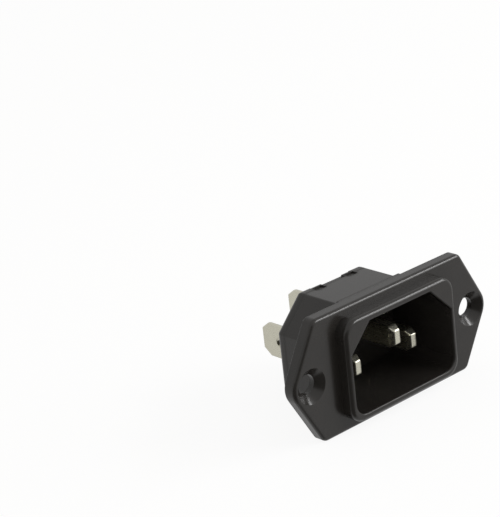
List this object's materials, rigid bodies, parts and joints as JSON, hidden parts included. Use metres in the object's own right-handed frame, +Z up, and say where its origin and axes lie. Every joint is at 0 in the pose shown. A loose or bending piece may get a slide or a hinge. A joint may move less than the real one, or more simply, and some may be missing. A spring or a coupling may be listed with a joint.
{
  "type": "panel inlet socket",
  "caption": "Appliance power inlet for a panel: a flange with screw holes, a recessed plug socket with blade pins, and wiring tabs behind.",
  "frame": {"origin": "midway between the two screw holes, on the flange's rear face, which meets the panel", "axes": "+X along the flange, +Y rearward through the panel towards the wiring tabs, +Z up towards the cut-off corners of the socket"},
  "size_m": [0.048, 0.0289, 0.0226],
  "materials": {
    "moulded_plastic": "glossy black moulded thermoplastic",
    "plated_contact": "nickel-plated brass, stamped and lightly tumbled"
  },
  "bodies": {
    "root": {"housing": "moulded_plastic", "rear_cover": "moulded_plastic", "line_contact": "plated_contact", "neutral_contact": "plated_contact", "earth_contact": "plated_contact"}
  },
  "joints": []
}
